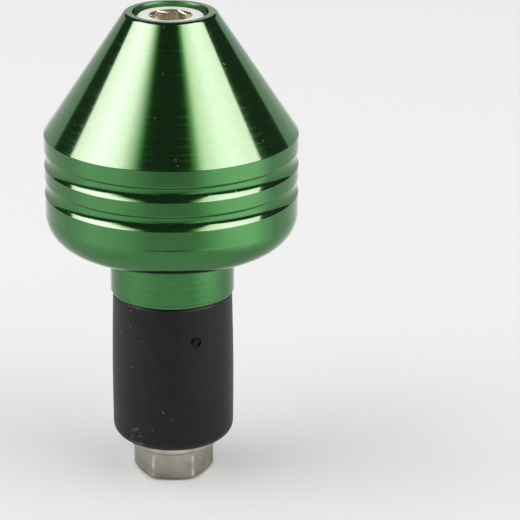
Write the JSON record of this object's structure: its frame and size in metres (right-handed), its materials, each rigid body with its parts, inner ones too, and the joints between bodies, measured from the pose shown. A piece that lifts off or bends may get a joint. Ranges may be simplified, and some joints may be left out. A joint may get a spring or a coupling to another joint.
{
  "type": "bar end weight",
  "caption": "Cone-shaped handlebar end weight with two turned grooves, held in the bar by a cap screw, a swelling rubber sleeve and a flange nut.",
  "frame": {"origin": "centre of the nut's end face, which is the lowest point and stands on the ground plane", "axes": "+Z along the screw, from the nut towards the rim and the hex socket; the socket's corners lie close to the X axis"},
  "size_m": [0.035, 0.035, 0.0677],
  "materials": {
    "green_anodised": "bright turned and green anodised",
    "screw_steel": "plated, satin",
    "black_rubber": "matte moulded",
    "nut_steel": "plated, satin"
  },
  "bodies": {
    "root": {"end_weight": "green_anodised", "cap_screw": "screw_steel", "rubber_sleeve": "black_rubber", "flange_nut": "nut_steel"}
  },
  "joints": []
}
